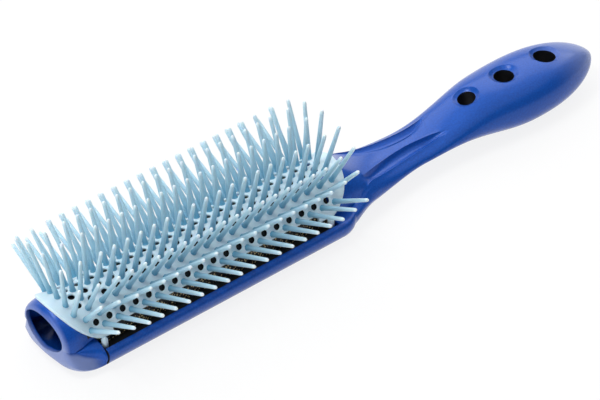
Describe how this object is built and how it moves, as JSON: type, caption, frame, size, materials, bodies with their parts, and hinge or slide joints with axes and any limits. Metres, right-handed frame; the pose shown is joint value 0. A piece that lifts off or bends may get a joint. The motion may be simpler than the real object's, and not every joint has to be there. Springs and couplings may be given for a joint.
{
  "type": "vented hair styling brush",
  "caption": "Vented styling brush: trough head with an arched pad of slim leaning pins over a dark vent core, open nose cap, slim handle with hanging holes.",
  "frame": {"origin": "under the middle of the brush's length and width, on the surface that its flat back rests on", "axes": "+X from the nose cap to the handle's end, +Z from the flat back to the pin tips"},
  "size_m": [0.2244, 0.0594, 0.041],
  "materials": {
    "body_blue": "pearl semi-gloss",
    "pad_ice_blue": "satin",
    "mesh_dark": "woven",
    "core_black": "matt"
  },
  "bodies": {
    "handle": {"handle_body": "body_blue"},
    "cartridge": {"vent_core": "core_black", "vent_mesh": "mesh_dark", "pin_pad": "pad_ice_blue"},
    "cap": {"tip_cap": "body_blue"}
  },
  "joints": [
    {"name": "pad_slide", "type": "slide", "parent": "handle", "child": "cartridge", "axis": [-1, 0, 0], "range_m": [0, 0.095]},
    {"name": "cap_pull", "type": "slide", "parent": "cartridge", "child": "cap", "axis": [-1, 0, 0], "range_m": [0, 0.03]}
  ]
}
